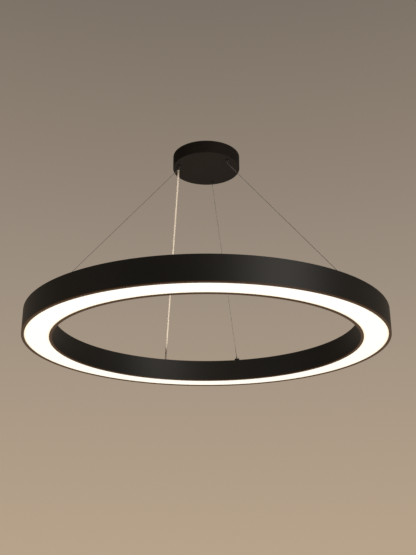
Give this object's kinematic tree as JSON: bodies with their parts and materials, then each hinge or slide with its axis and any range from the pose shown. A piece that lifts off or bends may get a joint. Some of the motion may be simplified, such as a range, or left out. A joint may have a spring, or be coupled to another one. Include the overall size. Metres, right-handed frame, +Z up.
{
  "type": "led ring chandelier",
  "caption": "Black ring pendant lamp with an opal light ring underneath, hung level from a round canopy by steel wires, with a clear power cable.",
  "frame": {"origin": "centre of the ceiling plate's upper face, in the ceiling's plane and on the ring's axis", "axes": "+Z up, square to the ceiling and along the ring's axis; -Y is the side that the picture was taken from"},
  "size_m": [0.9999, 0.9999, 0.59],
  "materials": {
    "ring_coat": "satin black powder coat on rolled aluminium",
    "canopy_coat": "satin black powder coat on drawn steel",
    "zinc_steel": "bright zinc plated steel",
    "tray_aluminium": "white painted aluminium sheet",
    "opal": "opal acrylic, lit warm white from behind",
    "board_white": "aluminium core circuit board, white mask",
    "chip": "light chips with yellow phosphor",
    "plug_white": "white nylon",
    "lead_white": "plastic insulated leads",
    "wire_steel": "stranded steel wire",
    "gripper_black": "black plated brass",
    "nickel": "nickel plated brass",
    "spring_steel": "spring steel",
    "gland_black": "black nylon",
    "clear_cable": "clear plastic sheath over three cores",
    "block_grey": "light grey polyamide",
    "driver_green": "driver circuit board with its components"
  },
  "bodies": {
    "canopy": {"ceiling_plate": "zinc_steel", "canopy_cup": "canopy_coat", "canopy_side_screws": "canopy_coat", "earth_screw": "nickel", "gripper_caps": "nickel", "canopy_lock_nuts": "nickel", "wire_tails": "wire_steel", "canopy_cable_gland": "gland_black", "canopy_cable_end": "clear_cable", "mains_terminal_block": "block_grey", "mains_terminal_screws": "nickel", "power_cable": "clear_cable", "gripper_body_far": "gripper_black", "gripper_spring_far": "spring_steel", "suspension_wire_far": "wire_steel", "gripper_body_left": "gripper_black", "gripper_spring_left": "spring_steel", "suspension_wire_left": "wire_steel", "gripper_body_right": "gripper_black", "gripper_spring_right": "spring_steel", "suspension_wire_right": "wire_steel"},
    "ring": {"outer_band": "ring_coat", "inner_band": "ring_coat", "top_cover": "ring_coat", "cover_screws": "ring_coat", "diffuser": "opal", "gear_tray": "tray_aluminium", "tray_screws": "zinc_steel", "led_board_1": "board_white", "led_board_2": "board_white", "led_board_3": "board_white", "led_board_4": "board_white", "led_board_5": "board_white", "led_board_6": "board_white", "led_chips": "chip", "board_connectors": "plug_white", "board_leads": "lead_white", "ring_leads": "lead_white", "driver_output_leads": "lead_white", "driver_cases": "zinc_steel", "driver_lids": "zinc_steel", "driver_boards": "driver_green", "anchor_bridges": "zinc_steel", "anchor_forks": "nickel", "ring_lock_nuts": "zinc_steel", "ring_cable_gland": "gland_black", "ring_terminal_block": "block_grey", "ring_cable_end": "clear_cable"},
    "release_far": {"release_sleeve_far": "gripper_black", "gripper_balls_far": "nickel"},
    "release_left": {"release_sleeve_left": "gripper_black", "gripper_balls_left": "nickel"},
    "release_right": {"release_sleeve_right": "gripper_black", "gripper_balls_right": "nickel"},
    "swivel_far": {"anchor_barrel_far": "nickel", "wire_ferrule_far": "nickel"},
    "swivel_left": {"anchor_barrel_left": "nickel", "wire_ferrule_left": "nickel"},
    "swivel_right": {"anchor_barrel_right": "nickel", "wire_ferrule_right": "nickel"}
  },
  "joints": [
    {"name": "ring_height", "type": "slide", "parent": "canopy", "child": "ring", "axis": [0, 0, 1], "range_m": [0, 0.2], "deforming": ["suspension_wire_far", "suspension_wire_left", "suspension_wire_right", "power_cable"]},
    {"name": "release_press_far", "type": "slide", "parent": "canopy", "child": "release_far", "axis": [0, 0, 1], "range_m": [0, 0.002], "stiffness_N_per_m": 500, "springref_m": -0.002, "deforming": ["gripper_spring_far"]},
    {"name": "release_press_left", "type": "slide", "parent": "canopy", "child": "release_left", "axis": [0, 0, 1], "range_m": [0, 0.002], "stiffness_N_per_m": 500, "springref_m": -0.002, "deforming": ["gripper_spring_left"]},
    {"name": "release_press_right", "type": "slide", "parent": "canopy", "child": "release_right", "axis": [0, 0, 1], "range_m": [0, 0.002], "stiffness_N_per_m": 500, "springref_m": -0.002, "deforming": ["gripper_spring_right"]},
    {"name": "swivel_turn_far", "type": "hinge", "parent": "ring", "child": "swivel_far", "pos_m": [0.10348, 0.44821, -0.513], "axis": [0.9744, -0.225, 0], "range_deg": [0, 15.87]},
    {"name": "swivel_turn_left", "type": "hinge", "parent": "ring", "child": "swivel_left", "pos_m": [-0.4399, -0.13449, -0.513], "axis": [-0.2924, 0.9563, 0], "range_deg": [0, 15.87]},
    {"name": "swivel_turn_right", "type": "hinge", "parent": "ring", "child": "swivel_right", "pos_m": [0.33642, -0.31372, -0.513], "axis": [-0.682, -0.7314, 0], "range_deg": [0, 15.87]}
  ],
  "couplings": [
    {"joint": "swivel_turn_far", "follows": "ring_height", "rad_per_m": 1.3801},
    {"joint": "swivel_turn_left", "follows": "ring_height", "rad_per_m": 1.3801},
    {"joint": "swivel_turn_right", "follows": "ring_height", "rad_per_m": 1.3801}
  ]
}
